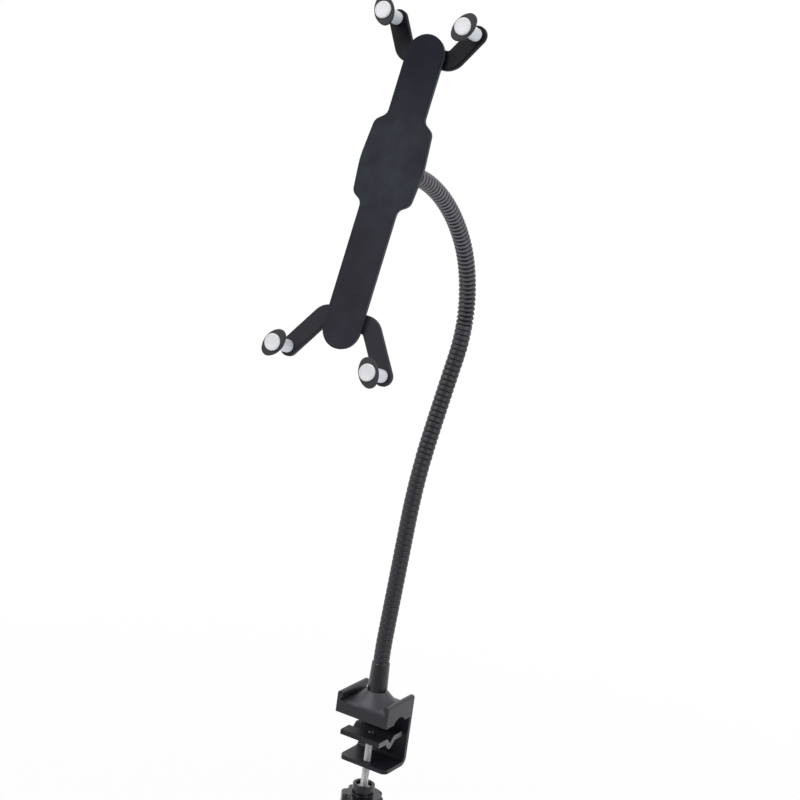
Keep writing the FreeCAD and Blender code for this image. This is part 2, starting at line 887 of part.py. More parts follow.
def leg(name):
    """Flat bar, bent at the elbow, with round ends: one for the pivot, one for the post."""
    body = new_body("leg_" + name)
    half = size("leg_width") / 2
    turn, reach = leg_turn(name), leg_reach(name)
    elbow = size("leg_elbow")
    along = (math.cos(turn), math.sin(turn))
    normal = (-along[1], along[0])
    inner_step = half * math.tan(turn / 2)
    end = reach + half
    round_end = half - 0.15
    points = [
        (-half, -half, round_end),
        (elbow + inner_step, -half, size("elbow_outside")),
        (elbow + end * along[0] - half * normal[0], end * along[1] - half * normal[1], round_end),
        (elbow + end * along[0] + half * normal[0], end * along[1] + half * normal[1], round_end),
        (elbow - inner_step, half, size("elbow_inside")),
        (-half, half, round_end),
    ]
    side, rise = leg_side(name), leg_rise(name)
    flipped = [(side * x, rise * y, radius) for x, y, radius in points]
    post_x, post_y = post_point(name)
    holes = [
        circle(0, 0, size("pivot_radius") + size("running_play")),
        circle(post_x, post_y, size("post_screw_radius")),
    ]
    bar = sketch_on(body, "XY_Plane", rounded(flipped) + holes, offset=leg_back)
    slab = pad(body, bar, "Sizes.leg_plate")

    def outer_rim(edge):
        box = edge.BoundBox
        wide = max(box.XLength, box.YLength) > 2.2 * size("pivot_radius") + 0.5
        level = box.ZLength < 0.01
        return level and wide

    round_edges(body, slab, "Chamfer", "Sizes.leg_plate * 0.16", outer_rim)
    return keep(body, head_place * leg_place(name))


def pivot_screws():
    """Cap screws that the legs swing on, with a broad head behind each leg."""
    pieces = []
    for x, y in pivots():
        thread = disc(size("pivot_radius") - 0.5, size("spine_plate") * 0.7, Vector(x, y, spine_back))
        shank = disc(size("pivot_radius"), -leg_back + spine_back + 1.0, Vector(x, y, leg_back - 1.0))
        low = leg_back - 1.0 - size("pivot_head_height")
        head = Part.makeCone(size("pivot_head_radius") - 0.8, size("pivot_head_radius"), 0.8, Vector(x, y, low))
        drum = disc(size("pivot_head_radius"), size("pivot_head_height") - 0.8, Vector(x, y, low + 0.8))
        drive = disc(2.2, 2.4, Vector(x, y, low))
        pieces.append(thread.fuse([shank, head, drum]).removeSplitter().cut(drive))
    return solids("pivot_screws", pieces, head_place)


def pivot_washers():
    """Spring washers under the heads, which make the friction that holds a leg."""
    pieces = []
    for x, y in pivots():
        outer = disc(size("pivot_head_radius") - 0.8, 0.7, Vector(x, y, leg_back - 1.0))
        pieces.append(outer.cut(disc(size("pivot_radius"), 2.0, Vector(x, y, leg_back - 2.0))))
    return solids("pivot_washers", pieces, head_place)


# The posts. Each is drawn round its own axis, on the front of its leg.

def post_place(name):
    x, y = post_point(name)
    return head_place * leg_place(name) * Placement(Vector(x, y, 0), Rotation())


def post(name):
    radius = size("post_radius")
    bore = size("post_screw_radius")
    low = leg_front
    top = low + size("post_length")
    points = [
        (bore, low),
        (radius, low),
        (radius, top),
        (bore, top),
    ]
    return turned("post_" + name, points, post_place(name))


def oval(long, wide, end_round, lean):
    """Four arcs that meet smoothly, from half the length, half the width and the ends' radius."""
    side_round = (long ** 2 + wide ** 2 - 2 * long * end_round) / (2 * (wide - end_round))
    end_centre, side_centre = long - end_round, side_round - wide
    reach = math.hypot(end_centre, side_centre)
    x = end_centre + end_round * end_centre / reach
    y = end_round * side_centre / reach
    turn = Rotation(Vector(0, 0, 1), lean)
    joins = [turn.multVec(Vector(*point, 0)) for point in ((x, -y), (x, y), (-x, y), (-x, -y))]
    middles = [turn.multVec(Vector(*point, 0)) for point in ((long, 0), (0, wide), (-long, 0), (0, -wide))]
    return [Part.Arc(joins[k], middles[k], joins[(k + 1) % 4]) for k in range(4)]


def lip(name):
    """Oval rubber lip that keeps the tablet from lifting off."""
    body = new_body("lip_" + name)
    low = leg_front + size("post_length")
    lean = 90 - leg_side(name) * leg_rise(name) * size("lip_turn")
    outer = oval(size("lip_length") / 2, size("lip_width") / 2, size("lip_end_round"), lean)
    hole = circle(0, 0, size("post_screw_radius"))
    outline = sketch_on(body, "XY_Plane", outer + [hole], offset=low)
    slab = pad(body, outline, "Sizes.lip_plate")

    def rim(edge):
        return edge.BoundBox.ZLength < 0.01 and edge.Curve.Radius > size("post_screw_radius") + 0.1

    round_edges(body, slab, "Chamfer", "Sizes.lip_plate * 0.3", rim)
    return keep(body, post_place(name))


def cap(name):
    """Round cap over the lip, with a shallow ring sunk into its face."""
    low = leg_front + size("post_length") + size("lip_plate")
    top = low + size("cap_height")
    radius = size("cap_radius")
    ring = radius * 0.72
    sunk = top - 0.5
    points = [
        (0, low),
        (radius, low),
        (radius, top - 0.7),
        (radius - 0.7, top),
        (ring + 0.4, top),
        (ring, sunk),
        (0, sunk),
    ]
    return turned("cap_" + name, points, post_place(name))


def post_screw(name):
    """Screw from behind the leg, up through the post and the lip, into the cap's foot."""
    radius = size("post_screw_radius")
    top = leg_front + size("post_length") + size("lip_plate")
    low = leg_back - 1.6
    points = [
        (0, low + 0.9),
        (radius * 0.8, low + 0.9),
        (radius * 0.8, low),
        (radius * 1.7, low),
        (radius * 1.9, leg_back - 0.2),
        (radius * 1.9, leg_back),
        (radius, leg_back),
        (radius, top),
        (0, top),
    ]
    return turned("post_screw_" + name, points, post_place(name))


upper_jaw()
clamp_frame()
frame_screws()
lower_jaw()
clamp_screw()
screw_ring()
knob()
knob_nut()
arm_foot()
foot_bolt()
base_sleeve()
for number in range(LINK_COUNT):
    arm_link(number)
head_sleeve()
ball_stud()
socket_cup()
socket_screws()
lock_ring()
spine_plate()
face_pad()
pivot_screws()
pivot_washers()
for name in LEGS:
    leg(name)
    post(name)
    lip(name)
    cap(name)
    post_screw(name)

doc.recompute()

# Every object and every sub-part is checked before anything is written.
for item in doc.Objects:
    if "Invalid" in item.State or "Error" in item.State:
        raise RuntimeError(f"{item.Name} did not build: {item.State}")
for item in NODES:
    if item.Shape.isNull() or not item.Shape.isValid():
        raise RuntimeError(f"{item.Label} has no valid shape")

os.makedirs("parts", exist_ok=True)
for item in NODES:
    item.Shape.exportStep(f"parts/{item.Label}.step")

# The joints' places, for whoever writes the record: name, point and axis, in millimetres.
across = head_place.Rotation.multVec(Vector(1, 0, 0))
normal = head_place.Rotation.multVec(Vector(0, 0, 1))
for number in range(1, LINK_COUNT):
    point, along = arm_point(link_length * number)
    print("joint", f"arm_bend_{number}", *point, 1, 0, 0)
ball = head_place.multVec(Vector(0, 0, ball_height))
print("joint", "head_turn", *ball, *normal)
print("joint", "head_tilt", *ball, *across)
print("joint", "lock_ring_turn", *ball, *normal)
for name in LEGS:
    x, y = pivots()[LEGS.index(name)]
    point = head_place.multVec(Vector(x, y, 0))
    opening = normal * (-leg_side(name) * leg_rise(name))
    print("joint", f"leg_{name}_swing", *point, *opening)
print("face", *face_centre, *normal)
print("saddle", saddle_radius)
print("nodes", len(NODES), "arm length", round(arm_length, 1))
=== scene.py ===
import json
from math import copysign, cos, pi, radians, sin

import bpy
from mathutils import Matrix, Vector


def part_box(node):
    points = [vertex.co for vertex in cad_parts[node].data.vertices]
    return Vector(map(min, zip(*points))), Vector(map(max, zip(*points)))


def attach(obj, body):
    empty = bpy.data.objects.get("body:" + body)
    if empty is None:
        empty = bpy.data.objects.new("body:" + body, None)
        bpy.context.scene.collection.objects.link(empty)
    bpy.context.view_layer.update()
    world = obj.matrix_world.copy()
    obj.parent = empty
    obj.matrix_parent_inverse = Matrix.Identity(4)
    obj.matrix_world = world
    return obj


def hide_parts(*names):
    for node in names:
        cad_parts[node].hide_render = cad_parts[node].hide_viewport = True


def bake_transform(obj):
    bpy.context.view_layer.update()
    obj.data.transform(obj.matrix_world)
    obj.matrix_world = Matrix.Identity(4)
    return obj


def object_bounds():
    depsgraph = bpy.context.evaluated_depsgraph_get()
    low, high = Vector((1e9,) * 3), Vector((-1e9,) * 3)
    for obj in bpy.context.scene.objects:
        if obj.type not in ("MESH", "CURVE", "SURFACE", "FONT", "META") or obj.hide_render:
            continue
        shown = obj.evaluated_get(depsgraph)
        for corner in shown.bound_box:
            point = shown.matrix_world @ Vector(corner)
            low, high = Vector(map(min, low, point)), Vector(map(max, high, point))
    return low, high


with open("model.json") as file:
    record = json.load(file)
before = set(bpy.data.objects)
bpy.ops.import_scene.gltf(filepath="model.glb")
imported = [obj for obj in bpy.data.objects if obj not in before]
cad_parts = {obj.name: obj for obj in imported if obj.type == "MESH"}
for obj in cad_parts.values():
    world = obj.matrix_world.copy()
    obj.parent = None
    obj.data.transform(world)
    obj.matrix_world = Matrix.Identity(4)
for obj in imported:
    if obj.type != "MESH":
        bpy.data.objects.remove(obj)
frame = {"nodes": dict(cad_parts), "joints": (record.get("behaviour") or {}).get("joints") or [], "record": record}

cad_box = [list(corner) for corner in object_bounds()]


# The camera. It stands in front of the clamp, to its right and above it, and leans a little,
# so that the upright foot of the arm tips to the right in the picture.

turn, look_down, lean = radians(29.5), radians(13.7), radians(7.9)
distance = 1.5093
focal_pixels = 1889
picture = 800
clamp_pixel = (373.0, 719.8)

facing = (
    Matrix.Rotation(turn, 3, "Z")
    @ Matrix.Rotation(pi / 2 - look_down, 3, "X")
    @ Matrix.Rotation(lean, 3, "Z")
)
clamp_seen = Vector((
    (clamp_pixel[0] - picture / 2) / focal_pixels * distance,
    -(clamp_pixel[1] - picture / 2) / focal_pixels * distance,
    -distance,
))
bpy.ops.object.camera_add(location=-(facing @ clamp_seen), rotation=facing.to_euler())
camera = bpy.context.object
camera.data.sensor_width = 36
camera.data.lens = focal_pixels / picture * 36
bpy.context.scene.camera = camera
bpy.context.scene.view_settings.view_transform = "Standard"


# The studio. A pale floor well below the clamp and a white surround, which the camera sees
# as white. Polished parts mirror a bright room at the sides and behind the object, and a dim
# room and a dim floor in front. Soft lamps stand above, in front and at the right.

class Signal:
    """A value on its way through a material. Ordinary arithmetic on numbers adds the nodes."""

    def __init__(self, finish, socket):
        self.finish = finish
        self.socket = socket

    def __add__(self, other):
        return self.finish.math("ADD", self, other)

    def __sub__(self, other):
        return self.finish.math("SUBTRACT", self, other)

    def __rsub__(self, other):
        return self.finish.math("SUBTRACT", other, self)

    def __mul__(self, other):
        return self.finish.math("MULTIPLY", self, other)

    __radd__ = __add__
    __rmul__ = __mul__


class Finish:
    """A material under construction."""

    def __init__(self, name, tree_of=None):
        if tree_of is None:
            self.material = bpy.data.materials.new(name)
            self.material.use_nodes = True
            tree_of = self.material
        self.tree = tree_of.node_tree
        self.shader = self.tree.nodes.get("Principled BSDF")

    def node(self, kind, settings=None, sockets=None, output=0):
        """A new node: its settings first, then the values or links of its sockets."""
        made = self.tree.nodes.new(kind)
        for name, value in (settings or {}).items():
            setattr(made, name, value)
        for name, value in (sockets or {}).items():
            self.feed(made.inputs[name], value)
        return Signal(self, made.outputs[output])

    def feed(self, socket, value):
        if isinstance(value, Signal):
            self.tree.links.new(value.socket, socket)
        else:
            socket.default_value = value

    def math(self, operation, a, b):
        return self.node("ShaderNodeMath", {"operation": operation}, {0: a, 1: b})

    def dot(self, first, second):
        sockets = {0: first, 1: second}
        return self.node("ShaderNodeVectorMath", {"operation": "DOT_PRODUCT"}, sockets, output="Value")

    def rays(self):
        """1 for a ray from the camera, and 1 for a ray that a polished surface sends out."""
        by_eye = self.node("ShaderNodeLightPath", output="Is Camera Ray")
        return by_eye, self.node("ShaderNodeLightPath", output="Is Glossy Ray")

    def place(self):
        return self.node("ShaderNodeTexCoord", output="Object")

    def place_on(self, axis):
        return self.node("ShaderNodeSeparateXYZ", None, {"Vector": self.place()}, output=axis)

    def noise(self, scale, detail=2.0, rough=0.5, stretch=None):
        """Cloudy pattern from 0 to 1, with about scale features in a metre."""
        where = self.place()
        if stretch:
            where = self.node("ShaderNodeMapping", None, {"Vector": where, "Scale": stretch})
        sockets = {"Vector": where, "Scale": scale, "Detail": detail, "Roughness": rough}
        return self.node("ShaderNodeTexNoise", None, sockets)

    def span(self, value, low, high, to_low=0.0, to_high=1.0):
        """The part of a signal between low and high, brought to another range and held there."""
        ends = {"From Min": low, "From Max": high, "To Min": to_low, "To Max": to_high}
        return self.node("ShaderNodeMapRange", {"clamp": True}, {"Value": value, **ends})

    def blend(self, first, second, share):
        """From the first colour to the second."""
        sockets = {0: share, 6: first, 7: second}
        return self.node("ShaderNodeMix", {"data_type": "RGBA"}, sockets, output=2)

    def bump(self, height, depth):
        return self.node("ShaderNodeBump", None, {"Height": height, "Distance": depth, "Strength": 1.0})

    def finish(self, **values):
        """Feed the shader's own sockets, named as in the shader with _ for a space."""
        for name, value in values.items():
            self.feed(self.shader.inputs[name.replace("_", " ")], value)
        return self.material


def colour(red, green, blue):
    return (red, green, blue, 1.0)


white = colour(1.0, 1.0, 1.0)
soft_level = 0.45
mirror_dim, mirror_bright = 0.30, 1.05
dark_room = Vector((0.45, -0.86, 0.22)).normalized()
room_fade = (-0.1, 0.75)
floor_drop = 0.30
floor_size = 16.0
floor_paint = colour(0.9, 0.9, 0.9)
floor_fade = (0.45, 1.3)
floor_glow = (0.93, 1.0)
front_fade = (0.1, 1.3)

world = bpy.data.worlds.new("studio")
bpy.context.scene.world = world
world.use_nodes = True
surround = Finish("surround", tree_of=world)
background = surround.tree.nodes["Background"]
by_camera, by_polish = surround.rays()
to_room = surround.dot(surround.node("ShaderNodeTexCoord", output="Generated"), dark_room)
mirror_level = surround.span(to_room, *room_fade, mirror_bright, mirror_dim)
surround.feed(background.inputs["Color"], white)
surround.feed(
    background.inputs["Strength"],
    by_camera * (1 - soft_level) + by_polish * (mirror_level - soft_level) + soft_level,
)

bpy.ops.mesh.primitive_plane_add(size=floor_size, location=(0, 0, cad_box[0][2] - floor_drop))
floor = bpy.context.object
floor.name = "studio_floor"
pale = Finish("pale_floor")
eye_ray, polish_ray = pale.rays()
from_middle = pale.node(
    "ShaderNodeVectorMath", {"operation": "LENGTH"}, {0: pale.place()}, output="Value"
)
glow_share = pale.math("MAXIMUM", eye_ray, polish_ray) * pale.span(from_middle, *floor_fade, *floor_glow)
front_dim = pale.span(pale.dot(pale.place(), dark_room), *front_fade, 1.0, mirror_dim)
glow_strength = eye_ray + polish_ray * front_dim
glow = pale.node("ShaderNodeEmission", None, {"Color": white, "Strength": glow_strength})
matt = pale.node("ShaderNodeBsdfDiffuse", None, {"Color": floor_paint})
sight = pale.node("ShaderNodeMixShader", None, {0: glow_share, 1: matt, 2: glow})
pale.feed(pale.tree.nodes["Material Output"].inputs["Surface"], sight)
floor.data.materials.append(pale.material)

lit_spot = Vector((0, -0.02, 0.28))
lamps = [
    ("key", (-0.9, -1.5, 1.5), 1.1, 18.0),
    ("side", (1.7, -0.5, 0.6), 1.1, 9.0),
    ("top", (0.1, 0.5, 1.9), 1.2, 10.0),
]
for name, spot, width, watts in lamps:
    bpy.ops.object.light_add(type="AREA", location=spot)
    lamp = bpy.context.object
    lamp.name = name + "_lamp"
    lamp.data.size = width
    lamp.data.energy = watts
    lamp.rotation_euler = (lit_spot - Vector(spot)).to_track_quat("-Z", "Y").to_euler()


# The upper jaw. A shoe moulded in black nylon: its saddle sits on the rail, and two end
# walls with rolled tops hold the foot of the arm. Every outside edge is slightly rounded.

MM = 0.001
weld = 0.001 * MM
whole_face = radians(0.6)
nodes = frame["nodes"]
bodies_of = frame["record"]["behaviour"]["bodies"]


def select_only(piece):
    bpy.ops.object.select_all(action="DESELECT")
    piece.select_set(True)
    bpy.context.view_layer.objects.active = piece


def edit_all():
    """Into edit mode, with all of the active piece selected."""
    bpy.ops.object.mode_set(mode="EDIT")
    bpy.ops.mesh.select_all(action="SELECT")


def apply_all(piece):
    select_only(piece)
    for modifier in list(piece.modifiers):
        bpy.ops.object.modifier_apply(modifier=modifier.name)


def round_edges(piece, width, segments, crease=None):
    """Bevel every edge, or only those that turn by more than a crease angle in degrees."""
    bevel = piece.modifiers.new("edges", "BEVEL")
    bevel.width = width
    bevel.segments = segments
    if crease is not None:
        bevel.limit_method = "ANGLE"
        bevel.angle_limit = radians(crease)
    apply_all(piece)


def body_with(node):
    return next(name for name, members in bodies_of.items() if node in members)


def rounded_copy(node, edge, segments=3, crease=28):
    """A copy of a solid with its flat faces whole again and its sharp edges rounded."""
    piece = bpy.data.objects.new("soft_" + node, nodes[node].data.copy())
    bpy.context.scene.collection.objects.link(piece)
    select_only(piece)
    edit_all()
    bpy.ops.mesh.remove_doubles(threshold=weld)
    bpy.ops.mesh.dissolve_limited(angle_limit=whole_face)
    bpy.ops.object.mode_set(mode="OBJECT")
    if edge > 0:
        round_edges(piece, edge, segments, crease)
    bpy.ops.object.shade_smooth_by_angle(angle=radians(crease))
    even_shine = piece.modifiers.new("even_shine", "WEIGHTED_NORMAL")
    even_shine.keep_sharp = True
    apply_all(piece)
    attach(piece, body_with(node))
    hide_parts(node)
    return piece


def wear(piece, material):
    """Give a piece its material."""
    piece.data.materials.clear()
    piece.data.materials.append(material)


nylon = Finish("black_nylon")
clouds = nylon.noise(60, detail=4)
grain = nylon.noise(2600, detail=3)
scuffs = nylon.span(nylon.noise(240, detail=6, rough=0.7), 0.58, 0.72)
nylon_colour = nylon.blend(colour(0.007, 0.007, 0.013), colour(0.014, 0.014, 0.023), clouds)
nylon_colour = nylon.blend(nylon_colour, colour(0.050, 0.051, 0.059), scuffs * 0.35)
black_nylon = nylon.finish(
    Base_Color=nylon_colour,
    Roughness=nylon.span(clouds, 0.3, 0.7, 0.36, 0.48) + scuffs * 0.12,
    Normal=nylon.bump(grain, 0.06 * MM),
    Specular_IOR_Level=0.5,
)

wear(rounded_copy("upper_jaw", 0.5 * MM), black_nylon)


# The bent frame. Steel plate folded round the back of the rail, powder coated black, with
# the coat a little lumpy. Two blackened cap screws hold it to the jaw.

powder = Finish("powder_coat")
peel = powder.noise(900, detail=2)
dust = powder.noise(45, detail=5)
powder_colour = powder.blend(colour(0.008, 0.007, 0.012), colour(0.018, 0.017, 0.024), dust)
powder_coat = powder.finish(
    Base_Color=powder_colour,
    Roughness=powder.span(dust, 0.3, 0.7, 0.34, 0.46),
    Normal=powder.bump(peel, 0.08 * MM),
    Specular_IOR_Level=0.3,
)

blackened = Finish("blackened_steel")
stains = blackened.noise(500, detail=4)
blackened_steel = blackened.finish(
    Base_Color=blackened.blend(colour(0.10, 0.10, 0.105), colour(0.19, 0.19, 0.19), stains),
    Roughness=blackened.span(stains, 0.3, 0.7, 0.28, 0.42),
    Metallic=1.0,
)

wear(rounded_copy("clamp_frame", 0.4 * MM), powder_coat)
wear(rounded_copy("frame_screws", 0.3 * MM, segments=2), blackened_steel)


# The lower jaw. Plate pressed to a vee and coated black. It is sawn to length after that, so
# its two ends have no coat and show grey saw lines. The clamp screw pushes it up.

jaw_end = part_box("lower_jaw")[1][0]
coat_edge = (jaw_end - 0.25 * MM, jaw_end - 0.05 * MM)
sawn = Finish("sawn_plate")
at_end = sawn.span(sawn.math("ABSOLUTE", sawn.place_on("X"), 0.0), *coat_edge)
saw_lines = sawn.noise(1800, detail=2, stretch=(1.0, 0.15, 1.0))
sawn_dust = sawn.noise(60, detail=4)
coat = sawn.blend(colour(0.011, 0.011, 0.015), colour(0.020, 0.020, 0.027), sawn_dust)
bare = sawn.blend(colour(0.075, 0.075, 0.08), colour(0.21, 0.21, 0.215), sawn.span(saw_lines, 0.3, 0.7))
sawn_plate = sawn.finish(
    Base_Color=sawn.blend(coat, bare, at_end),
    Roughness=sawn.span(saw_lines, 0.2, 0.8, 0.36, 0.52),
    Metallic=at_end * 0.3,
    Normal=sawn.bump(saw_lines, 0.05 * MM),
    Specular_IOR_Level=0.25,
)

wear(rounded_copy("lower_jaw", 0.35 * MM), sawn_plate)


# The clamp screw. A zinc-plated M6 rod with its thread, and a thin end that turns in the
# lower jaw. The thread is one turn of a notched line, wound up the rod.

zinc = Finish("zinc_plate")
spots = zinc.noise(700, detail=5, rough=0.6)
streaks = zinc.noise(1500, detail=2, stretch=(1.0, 1.0, 0.12))
zinc_plate = zinc.finish(
    Base_Color=zinc.blend(colour(0.56, 0.56, 0.56), colour(0.86, 0.86, 0.86), spots),
    Roughness=zinc.span(streaks, 0.25, 0.75, 0.26, 0.44),
    Metallic=1.0,
    Normal=zinc.bump(streaks, 0.03 * MM),
)

thread_pitch = 1.0 * MM
thread_depth = 0.45 * MM
thread_steps = 32
rod_radius = 3.0 * MM
tip_radius = 2.0 * MM
below_jaw = 0.6 * MM
rod_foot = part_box("clamp_screw")[0][2]
rod_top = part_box("clamp_screw")[1][2]
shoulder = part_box("lower_jaw")[0][2] - below_jaw
turns = int((shoulder - rod_foot) / thread_pitch) - 1
thread_foot = shoulder - (turns + 1) * thread_pitch


def profile_line(name, points):
    """An open line through (radius, height) points, drawn from one vertex by extruding it."""
    bpy.ops.mesh.primitive_circle_add(vertices=3, radius=MM)
    piece = bpy.context.object
    piece.name = name
    bpy.ops.object.mode_set(mode="EDIT")
    bpy.ops.mesh.select_mode(type="VERT")
    bpy.ops.mesh.select_all(action="SELECT")
    bpy.ops.mesh.merge(type="CENTER")
    bpy.ops.object.mode_set(mode="OBJECT")
    piece.data.vertices[0].co = (points[0][0], 0, points[0][1])
    bpy.ops.object.mode_set(mode="EDIT")
    for (out, up), (next_out, next_up) in zip(points, points[1:]):
        step = (next_out - out, 0, next_up - up)
        bpy.ops.mesh.extrude_region_move(TRANSFORM_OT_translate={"value": step})
    bpy.ops.object.mode_set(mode="OBJECT")
    return piece


def face_out():
    """Weld the active piece, turn its faces outwards and leave edit mode."""
    edit_all()
    bpy.ops.mesh.remove_doubles(threshold=weld)
    bpy.ops.mesh.normals_make_consistent(inside=False)
    bpy.ops.object.mode_set(mode="OBJECT")


turned_steps = 48
turned_crease = radians(32)


def spun(name, profile):
    """A turned piece about Z from (radius, height) points, foot first."""
    piece = profile_line(name, profile)
    edit_all()
    bpy.ops.mesh.spin(steps=turned_steps, angle=2 * pi, center=(0, 0, 0), axis=(0, 0, 1))
    face_out()
    bpy.ops.object.shade_smooth_by_angle(angle=turned_crease)
    return piece


rod = profile_line("threaded_rod", [
    (rod_radius - thread_depth, thread_foot),
    (rod_radius, thread_foot + 0.38 * thread_pitch),
    (rod_radius, thread_foot + 0.62 * thread_pitch),
    (rod_radius - thread_depth, thread_foot + thread_pitch),
])
winding = rod.modifiers.new("thread", "SCREW")
winding.screw_offset = thread_pitch
winding.iterations = turns
winding.steps = thread_steps
winding.render_steps = thread_steps
winding.use_merge_vertices = True
winding.merge_threshold = weld
apply_all(rod)
face_out()

core_radius = rod_radius - 0.8 * thread_depth
core = spun("rod_core", [
    (0, rod_foot),
    (core_radius, rod_foot),
    (core_radius, shoulder),
    (tip_radius + 0.3 * MM, shoulder + 0.2 * MM),
    (tip_radius, shoulder + 0.5 * MM),
    (tip_radius, rod_top - 0.3 * MM),
    (tip_radius - 0.3 * MM, rod_top),
    (0, rod_top),
])
select_only(rod)
core.select_set(True)
bpy.ops.object.join()
bpy.ops.object.shade_smooth_by_angle(angle=turned_crease)
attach(rod, "screw")
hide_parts("clamp_screw")
wear(rod, zinc_plate)
for node in ("screw_ring", "knob_nut"):
    wear(nodes[node], zinc_plate)


# The knob. Moulded in glossy black plastic, with five lobes for the fingers. A nut sits in
# its hollow collar and is fast on the screw, so that both turn together.

gloss = Finish("gloss_black")
smears = gloss.noise(90, detail=4)
flow = gloss.noise(420, detail=2)
gloss_black = gloss.finish(
    Base_Color=gloss.blend(colour(0.004, 0.004, 0.008), colour(0.009, 0.009, 0.016), smears),
    Roughness=gloss.span(smears, 0.3, 0.7, 0.16, 0.30),
    Normal=gloss.bump(flow, 0.05 * MM),
)

wear(rounded_copy("knob", 0.9 * MM, segments=4), gloss_black)


# The foot of the arm. A plate drawn up from a square with soft corners to a round neck, paler
# and smoother than the jaw. It slides into the shoe, and a bolt from under it holds the sleeve
# of the arm, which has a satin enamel.

drawn = Finish("drawn_plate")
drift = drawn.noise(70, detail=3)
drawn_grain = drawn.noise(1900, detail=2)
drawn_plate = drawn.finish(
    Base_Color=drawn.blend(colour(0.040, 0.040, 0.050), colour(0.062, 0.062, 0.076), drift),
    Roughness=drawn.span(drift, 0.3, 0.7, 0.38, 0.46),
    Normal=drawn.bump(drawn_grain, 0.04 * MM),
    Specular_IOR_Level=0.4,
)
enamel = Finish("satin_enamel")
sheen = enamel.noise(120, detail=3)
dimples = enamel.noise(1400, detail=2)
satin_enamel = enamel.finish(
    Base_Color=enamel.blend(colour(0.006, 0.006, 0.009), colour(0.011, 0.011, 0.015), sheen),
    Roughness=enamel.span(sheen, 0.3, 0.7, 0.20, 0.28),
    Normal=enamel.bump(dimples, 0.02 * MM),
    Specular_IOR_Level=0.6,
)

foot_low, foot_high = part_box("arm_foot")
plate_top = foot_low[2] + 2.6 * MM
plate_edge = 0.4 * MM
neck_radius = 8.3 * MM
skirt_x, skirt_front, skirt_back = 19.6 * MM, 16.8 * MM, 17.2 * MM
squareness = 0.9
# How the plate is drawn up: the share of the height, and the share of the way out to the skirt.
draw = [
    (-0.04, 1.0),
    (0.0, 1.0),
    (0.03, 0.95),
    (0.08, 0.88),
    (0.17, 0.79),
    (0.30, 0.67),
    (0.44, 0.54),
    (0.58, 0.41),
    (0.71, 0.29),
    (0.82, 0.185),
    (0.90, 0.11),
    (0.96, 0.05),
    (0.99, 0.015),
    (1.0, 0.0),
]


def drawn_outline(out_x, out_y, spread):
    """The draw's outline where it faces along (out_x, out_y): round at the neck, squarer below."""
    power = 2.0 / (2.0 + squareness * spread ** 2)
    skirt_y = skirt_front if out_y < 0 else skirt_back
    reach_x = neck_radius + (skirt_x - neck_radius) * spread
    reach_y = neck_radius + (skirt_y - neck_radius) * spread
    return (
        copysign(abs(out_x) ** power, out_x) * reach_x,
        copysign(abs(out_y) ** power, out_y) * reach_y,
    )


plate_size = Vector((foot_high[0], foot_high[1], plate_top)) - Vector(foot_low)
bpy.ops.mesh.primitive_cube_add(size=1, location=Vector(foot_low) + plate_size / 2, scale=plate_size)
foot = bpy.context.object
foot.name = "drawn_foot"
bpy.ops.object.transform_apply(location=True, rotation=True, scale=True)
round_edges(foot, plate_edge, 3)

drawn_sides = 96
drawn_crease = radians(35)
bpy.ops.mesh.primitive_circle_add(vertices=drawn_sides, radius=1, fill_type="NGON")
shell = bpy.context.object
edit_all()
for _ in draw[1:]:
    bpy.ops.mesh.extrude_region_move(TRANSFORM_OT_translate={"value": (0, 0, 1)})
bpy.ops.object.mode_set(mode="OBJECT")
for vertex in shell.data.vertices:
    rise, spread = draw[round(vertex.co.z)]
    vertex.co.x, vertex.co.y = drawn_outline(vertex.co.x, vertex.co.y, spread)
    vertex.co.z = plate_top + rise * (foot_high[2] - plate_top)
face_out()
select_only(foot)
shell.select_set(True)
bpy.ops.object.join()
bpy.ops.object.shade_smooth_by_angle(angle=drawn_crease)
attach(foot, body_with("arm_foot"))
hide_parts("arm_foot")
wear(foot, drawn_plate)
wear(rounded_copy("base_sleeve", 0.4 * MM), satin_enamel)
wear(nodes["foot_bolt"], blackened_steel)


# The arm. A steel hose wound in ribs and coated black, pressed into a sleeve at either end.
# Its ribs stand close and flat where it is straight, and open to round ones where it bows
# over. It is made in three lengths.

# The arm's middle line, from the foot up: the length of each run in millimetres and how far
# it turns, in degrees, away from the one who looks at the panel.
arm_runs = [
    (24.1, 6.4),
    (92.1, 0.0),
    (69.4, 14.1),
    (63.7, 1.6),
    (46.0, -31.8),
    (56.1, -29.7),
    (79.5, -29.3),
    (11.8, -6.7),
]
arm_length = 443.0 * MM
arm_stretch = arm_length / sum(run for run, bend in arm_runs)
arm_foot_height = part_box("base_sleeve")[1][2]
in_sleeve = 8.0 * MM
in_head_sleeve = 13.0 * MM


def arm_point(distance):
    """A place on the arm's middle line, at a distance from the top of its lower sleeve."""
    y, z, heading = 0.0, arm_foot_height, 0.0
    left = distance
    for number, (run, bend) in enumerate(arm_runs):
        run = run * arm_stretch
        last = number == len(arm_runs) - 1
        step = left if left <= run or last else run
        swing = radians(bend) * step / run
        straight = abs(swing) < 1e-9
        chord = step if straight else 2 * step / swing * sin(swing / 2)
        y += chord * sin(heading + swing / 2)
        z += chord * cos(heading + swing / 2)
        heading += swing
        left -= step
        if left <= 0:
            break
    return Vector((0, y, z)), Vector((0, sin(heading), cos(heading)))


